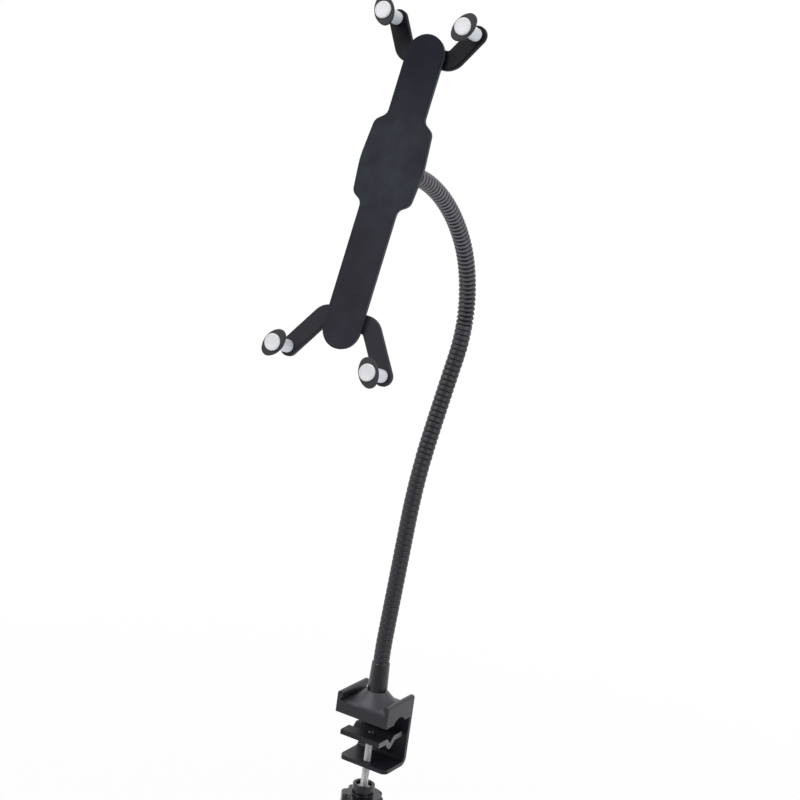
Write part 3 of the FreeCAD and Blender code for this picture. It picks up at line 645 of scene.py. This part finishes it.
line = bpy.data.curves.new("arm_line", "CURVE")
line.dimensions = "3D"
spline = line.splines.new("POLY")
line_steps = 260
line_start, line_end = -in_sleeve, arm_length + in_head_sleeve
spline.points.add(line_steps)
for number, point in enumerate(spline.points):
    reached = line_start + (line_end - line_start) * number / line_steps
    on_arm = min(max(0.0, reached), arm_length)
    at, along = arm_point(on_arm)
    point.co = (*(at + along * (reached - on_arm)), 1.0)
arm_line = bpy.data.objects.new("arm_line", line)
bpy.context.scene.collection.objects.link(arm_line)

# A rib's swell: the share of the way along it, and the share of the way from groove to crest.
flat_rib = [
    (0.05, 0.30),
    (0.10, 0.75),
    (0.18, 0.95),
    (0.32, 1.00),
    (0.55, 1.00),
    (0.74, 0.93),
    (0.86, 0.72),
    (0.94, 0.35),
    (1.00, 0.0),
]
round_rib = [
    (0.07, 0.12),
    (0.14, 0.50),
    (0.22, 0.84),
    (0.32, 0.98),
    (0.44, 1.00),
    (0.58, 0.88),
    (0.73, 0.62),
    (0.87, 0.30),
    (1.00, 0.0),
]
rib_sides = 40
hose_crease = radians(50)


def ribbed_length(name, ends, rib, pitch, widening, groove, crest):
    """Closed length of hose between two distances on the arm's line, its pitch wider at the end."""
    start, end = ends
    count = round((end - start) / pitch)
    step = (end - start) / count
    bpy.ops.mesh.primitive_circle_add(vertices=rib_sides, radius=groove, rotation=(0, pi / 2, 0))
    piece = bpy.context.object
    piece.name = name
    bpy.ops.object.transform_apply(location=True, rotation=True, scale=True)
    bpy.ops.object.mode_set(mode="EDIT")
    bpy.ops.mesh.select_mode(type="EDGE")
    bpy.ops.mesh.select_all(action="SELECT")
    reached, radius = 0.0, groove
    for share, swell in rib:
        wide = groove + swell * (crest - groove)
        bpy.ops.mesh.extrude_region_move(
            TRANSFORM_OT_translate={"value": ((share - reached) * step, 0, 0)}
        )
        grow = wide / radius
        bpy.ops.transform.resize(value=(1, grow, grow), center_override=(share * step, 0, 0))
        reached, radius = share, wide
    bpy.ops.object.mode_set(mode="OBJECT")
    swell_of = piece.data.attributes.new("swell", "FLOAT", "POINT")
    for vertex, value in zip(piece.data.vertices, swell_of.data):
        out = Vector((0, vertex.co.y, vertex.co.z)).length
        value.value = (out - groove) / (crest - groove)
    foot_of_length = start - line_start
    piece.data.transform(Matrix.Translation((foot_of_length, 0, 0)))
    ribs = piece.modifiers.new("ribs", "ARRAY")
    ribs.use_relative_offset = False
    ribs.use_constant_offset = True
    ribs.constant_offset_displace = (step, 0, 0)
    ribs.count = count
    ribs.use_merge_vertices = True
    ribs.merge_threshold = 0.01 * MM
    apply_all(piece)
    for vertex in piece.data.vertices:
        share = (vertex.co.x - foot_of_length) / (end - start)
        vertex.co.x += widening * (end - start) * share * (share - 1)
    bend = piece.modifiers.new("bend", "CURVE")
    bend.object = arm_line
    bend.deform_axis = "POS_X"
    apply_all(piece)
    bpy.ops.object.mode_set(mode="EDIT")
    bpy.ops.mesh.select_all(action="DESELECT")
    bpy.ops.mesh.select_non_manifold(extend=False)
    bpy.ops.mesh.edge_face_add()
    bpy.ops.mesh.select_all(action="SELECT")
    bpy.ops.mesh.normals_make_consistent(inside=False)
    bpy.ops.object.mode_set(mode="OBJECT")
    bpy.ops.object.shade_smooth_by_angle(angle=hose_crease)
    return piece


# Heights between which the arm bows over; over them the painted highlight on each rib's crest and the painted
# shade in its grooves grow to full, and stay so above.
painted_light_rise = (0.30, 0.42)
hose = Finish("ribbed_hose")
swell = hose.node("ShaderNodeAttribute", {"attribute_name": "swell"}, output="Fac")
# A noise for the roughness, which also breaks up the painted highlight on each crest.
rubbed_and_highlight = hose.noise(160, detail=5, rough=0.65)
hose_grain = hose.noise(1700, detail=3)
painted_light_height = hose.span(hose.place_on("Z"), *painted_light_rise)
# Painted highlight: each crest is paler, most of all above the heights where the arm bows over.
crest_highlight_mask = hose.span(swell, 0.5, 1.0) * hose.span(rubbed_and_highlight, 0.25, 0.75, 0.6, 1.0)
# Painted shade: the grooves are darker than the crest, and darker still higher up the arm.
groove_painted_shade = hose.blend(colour(0.007, 0.006, 0.008), colour(0.002, 0.002, 0.003), painted_light_height)
hose_colour = hose.blend(groove_painted_shade, colour(0.014, 0.013, 0.018), hose.span(swell, 0.1, 0.7))
crest_painted_highlight = hose.blend(colour(0.033, 0.031, 0.039), colour(0.275, 0.260, 0.305), painted_light_height)
ribbed_hose = hose.finish(
    Base_Color=hose.blend(hose_colour, crest_painted_highlight, crest_highlight_mask * 0.85),
    Roughness=hose.span(rubbed_and_highlight, 0.3, 0.7, 0.38, 0.48),
    Normal=hose.bump(hose_grain, 0.06 * MM),
    Specular_IOR_Level=0.42,
)

# Each length: its ends on the line, its rib, the ribs' pitch and how much that widens, the radii
# of groove and crest, the two bodies that it joins, and the links that it stands for.
link = arm_length / 4
hose_lengths = {
    "arm_lower": (
        (line_start, 1.5 * link), flat_rib, 4.6 * MM, 0.0, 6.0 * MM, 6.45 * MM,
        ("clamp", "arm_low"), ("arm_link_1", "arm_link_2"),
    ),
    "arm_middle": (
        (1.5 * link, 2.5 * link), flat_rib, 4.2 * MM, 0.0, 5.95 * MM, 6.6 * MM,
        ("arm_low", "arm_mid"), ("arm_link_3",),
    ),
    "arm_upper": (
        (2.5 * link, line_end), round_rib, 4.2 * MM, 0.10, 5.5 * MM, 6.75 * MM,
        ("arm_mid", "arm_high"), ("arm_link_4",),
    ),
}
for number, (name, (*shape, joined, links)) in enumerate(hose_lengths.items(), start=1):
    piece = ribbed_length(name, *shape)
    wear(piece, ribbed_hose)
    middle, along = arm_point(link * number)
    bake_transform(piece)
    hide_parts(*links)
bpy.data.objects.remove(arm_line)

# The sleeve at the head shows only as a short collar, because the ribs are pressed far into it.
collar_foot, collar_top, collar_radius = 10.0 * MM, 14.0 * MM, 7.2 * MM
collar = spun("head_collar", [
    (0, collar_foot),
    (collar_radius - 0.5 * MM, collar_foot),
    (collar_radius, collar_foot + 0.5 * MM),
    (collar_radius, collar_top - 0.4 * MM),
    (collar_radius - 0.4 * MM, collar_top),
    (0, collar_top),
])
arm_end, end_along = arm_point(arm_length)
turn_to_end = end_along.to_track_quat("Z", "X").to_matrix().to_4x4()
collar.data.transform(Matrix.Translation(arm_end) @ turn_to_end)
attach(collar, body_with("head_sleeve"))
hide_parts("head_sleeve")
wear(collar, satin_enamel)


# The ball joint behind the panel. A polished steel ball on a stud, a moulded cup screwed
# to the panel's back, and a fluted ring that tightens it.

polish = Finish("polished_ball")
haze = polish.noise(300, detail=4)
polished_ball = polish.finish(
    Base_Color=colour(0.58, 0.58, 0.59),
    Roughness=polish.span(haze, 0.3, 0.7, 0.08, 0.2),
    Metallic=1.0,
)
for node, edge in (("socket_cup", 0.4 * MM), ("lock_ring", 0.25 * MM)):
    wear(rounded_copy(node, edge, segments=2, crease=20), black_nylon)
wear(rounded_copy("ball_stud", 0.2 * MM, segments=2), polished_ball)
wear(rounded_copy("socket_screws", 0.25 * MM, segments=2), blackened_steel)


# The panel. A moulded spine, and over its whole front a soft-touch pad of charcoal rubber
# with a rounded rim. Handling leaves faint paler clouds on the soft face.

joints = {joint["name"]: joint for joint in frame["joints"]}
out_of_face = Vector(joints["head_turn"]["axis"])
# Heights between which the pad's tone changes from low to middle, and from middle to high; the darker high tone is
# painted shade at the top of the pad.
low_to_middle = (0.39, 0.43)
middle_to_high = (0.47, 0.52)

soft = Finish("soft_touch")
handled = soft.noise(26, detail=3, rough=0.55)
blotches = soft.noise(95, detail=5, rough=0.6)
velvet = soft.noise(2300, detail=2)
cloudy = soft.span(handled * 0.6 + blotches * 0.4, 0.38, 0.64)
# Painted highlight: where the pad's surface turns away from the face, on its side walls, it gets a paler colour.
facing_out = soft.dot(soft.node("ShaderNodeNewGeometry", output="Normal"), out_of_face)
painted_side_light = soft.span(facing_out, 0.25, 0.6, 1.0, 0.0)
panel_height = soft.place_on("Z")
soft_low = soft.blend(colour(0.020, 0.019, 0.026), colour(0.031, 0.030, 0.042), cloudy)
soft_middle = soft.blend(colour(0.018, 0.019, 0.026), colour(0.036, 0.040, 0.053), cloudy)
# Painted shade: the top of the pad is darker.
soft_high_painted_shade = soft.blend(colour(0.007, 0.008, 0.014), colour(0.014, 0.016, 0.027), cloudy)
soft_colour = soft.blend(soft_low, soft_middle, soft.span(panel_height, *low_to_middle))
soft_colour = soft.blend(soft_colour, soft_high_painted_shade, soft.span(panel_height, *middle_to_high))
soft_touch = soft.finish(
    Base_Color=soft.blend(soft_colour, colour(0.062, 0.068, 0.080), painted_side_light),
    Roughness=soft.span(cloudy, 0.0, 1.0, 0.52, 0.62),
    Normal=soft.bump(velvet, 0.04 * MM),
    Specular_IOR_Level=0.10,
)
spine = Finish("charcoal_spine")
spine_flow = spine.noise(80, detail=3)
spine_grain = spine.noise(2400, detail=3)
charcoal_spine = spine.finish(
    Base_Color=spine.blend(colour(0.024, 0.025, 0.032), colour(0.036, 0.038, 0.048), spine_flow),
    Roughness=spine.span(spine_flow, 0.3, 0.7, 0.42, 0.54),
    Normal=spine.bump(spine_grain, 0.07 * MM),
    Specular_IOR_Level=0.3,
)
wear(rounded_copy("face_pad", 0.4 * MM, crease=50), soft_touch)
wear(rounded_copy("spine_plate", 0.6 * MM), charcoal_spine)


# The legs. Flat moulded bars with a bend, each on a bright broad-headed screw behind the
# panel, with a spring washer under the head.

# Heights between the lower legs, paler with painted light, and the upper ones, darker with painted shade.
lower_to_upper = (0.34, 0.50)
mould = Finish("moulded_leg")
leg_flow = mould.noise(70, detail=4)
leg_grain = mould.noise(2100, detail=3)
# Painted light and shade on one plastic: the lower legs are paler and the upper ones darker.
leg_painted_shade = mould.blend(colour(0.003, 0.003, 0.006), colour(0.007, 0.006, 0.011), leg_flow)
leg_painted_light = mould.blend(colour(0.023, 0.022, 0.029), colour(0.034, 0.033, 0.042), leg_flow)
moulded_leg = mould.finish(
    Base_Color=mould.blend(leg_painted_light, leg_painted_shade, mould.span(mould.place_on("Z"), *lower_to_upper)),
    Roughness=mould.span(leg_flow, 0.3, 0.7, 0.48, 0.60),
    Normal=mould.bump(leg_grain, 0.07 * MM),
    Specular_IOR_Level=0.15,
)
pivot = Finish("pivot_steel")
turning = pivot.noise(1100, detail=3)
pivot_steel = pivot.finish(
    Base_Color=pivot.blend(colour(0.36, 0.36, 0.37), colour(0.52, 0.52, 0.53), turning),
    Roughness=pivot.span(turning, 0.3, 0.7, 0.28, 0.42),
    Metallic=1.0,
)
leg_names = ["upper_left", "upper_right", "lower_left", "lower_right"]
for name in leg_names:
    wear(rounded_copy("leg_" + name, 0.4 * MM, crease=20), moulded_leg)
    wear(rounded_copy("post_screw_" + name, 0.2 * MM, segments=2), blackened_steel)
wear(rounded_copy("pivot_screws", 0.3 * MM, segments=2), pivot_steel)
wear(rounded_copy("pivot_washers", 0), pivot_steel)


# The posts. White nylon tubes with a faint blue, turned smooth. Each stands on the end of a
# leg, where a screw from behind holds it, and carries a lip and a cap.

pale_nylon = Finish("white_nylon")
milk = pale_nylon.noise(140, detail=3)
turned_lines = pale_nylon.noise(900, detail=2)
white_nylon = pale_nylon.finish(
    Base_Color=pale_nylon.blend(colour(0.66, 0.69, 0.76), colour(0.74, 0.77, 0.82), milk),
    Roughness=pale_nylon.span(milk, 0.3, 0.7, 0.34, 0.46),
    Normal=pale_nylon.bump(turned_lines, 0.008 * MM),
)
for name in leg_names:
    wear(rounded_copy("post_" + name, 0.4 * MM), white_nylon)


# The lips and caps. Each lip is an oval of dark rubber, thick and round-edged. The white cap
# on it is turned, with a shallow dish and a fine ring in its face.

grip = Finish("dark_rubber")
bloom = grip.noise(220, detail=5, rough=0.6)
pores = grip.noise(2600, detail=2)
dark_rubber = grip.finish(
    Base_Color=grip.blend(colour(0.030, 0.030, 0.033), colour(0.056, 0.057, 0.061), bloom),
    Roughness=grip.span(bloom, 0.3, 0.7, 0.56, 0.70),
    Normal=grip.bump(pores, 0.06 * MM),
    Specular_IOR_Level=0.25,
)
cap_white = Finish("turned_white")
cap_milk = cap_white.noise(90, detail=2)
turned_white = cap_white.finish(
    Base_Color=cap_white.blend(colour(0.72, 0.725, 0.75), colour(0.79, 0.795, 0.82), cap_milk),
    Roughness=cap_white.span(cap_milk, 0.3, 0.7, 0.34, 0.44),
)
ball_depth = 19.0 * MM
across_panel = Vector(joints["head_tilt"]["axis"])
up_panel = out_of_face.cross(across_panel)
head = Matrix((across_panel, up_panel, out_of_face)).transposed().to_4x4()
head.translation = Vector(joints["head_tilt"]["pos_m"]) + out_of_face * ball_depth

lip_long, lip_wide, lip_end = 11.2 * MM, 7.8 * MM, 5.8 * MM
lip_sides = 72
lip_round = 1.0 * MM
lip_crease = 40
lip_lean = radians(31)
leaning_left = ("upper_left", "lower_right")
cap_radius = 6.2 * MM
cap_dish = 0.25 * MM


def lip_outline(x, y):
    """The lip's outline, four arcs that meet smoothly, where it faces along (x, y)."""
    end_centre = lip_long - lip_end
    side = (end_centre ** 2 + lip_wide ** 2 - lip_end ** 2) / (2 * (lip_wide - lip_end))
    if abs(y) * end_centre < abs(x) * (side - lip_wide):
        return copysign(end_centre, x) + lip_end * x, lip_end * y
    return side * x, side * y - copysign(side - lip_wide, y)


def post_frame(name):
    """The place of a post's axis on the face of the panel, with Z out of the face."""
    screw = nodes["post_screw_" + name].data
    middle = sum((vertex.co for vertex in screw.vertices), Vector()) / len(screw.vertices)
    flat = head.inverted() @ middle
    flat.z = 0.0
    return head @ Matrix.Translation(flat)


def front_of(node):
    """Least and greatest height of a node in front of the panel's face."""
    heights = [(head.inverted() @ vertex.co).z for vertex in nodes[node].data.vertices]
    return min(heights), max(heights)


for name in leg_names:
    place = post_frame(name)
    low, high = front_of("lip_" + name)
    lean_way = -1 if name in leaning_left else 1
    bpy.ops.mesh.primitive_cylinder_add(
        vertices=lip_sides, radius=1, depth=high - low, location=(0, 0, (low + high) / 2)
    )
    lip = bpy.context.object
    lip.name = "soft_lip_" + name
    bpy.ops.object.transform_apply(location=True, rotation=True, scale=True)
    for vertex in lip.data.vertices:
        vertex.co.x, vertex.co.y = lip_outline(vertex.co.x, vertex.co.y)
    round_edges(lip, lip_round, 5, lip_crease)
    bpy.ops.object.shade_smooth_by_angle(angle=radians(lip_crease))
    lip.data.transform(place @ Matrix.Rotation(pi / 2 - lean_way * lip_lean, 4, "Z"))
    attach(lip, "leg_" + name)
    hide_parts("lip_" + name)
    wear(lip, dark_rubber)

    low, high = front_of("cap_" + name)
    cap = spun("turned_cap_" + name, [
        (0, low),
        (cap_radius - 0.1 * MM, low),
        (cap_radius, low + 0.2 * MM),
        (cap_radius, high - 0.8 * MM),
        (cap_radius - 0.15 * MM, high - 0.4 * MM),
        (cap_radius - 0.4 * MM, high - 0.12 * MM),
        (cap_radius - 0.8 * MM, high),
        (cap_radius * 0.80, high),
        (cap_radius * 0.76, high - 0.8 * cap_dish),
        (cap_radius * 0.72, high - cap_dish),
        (0, high - cap_dish),
    ])
    cap.data.transform(place)
    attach(cap, "leg_" + name)
    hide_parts("cap_" + name)
    wear(cap, turned_white)
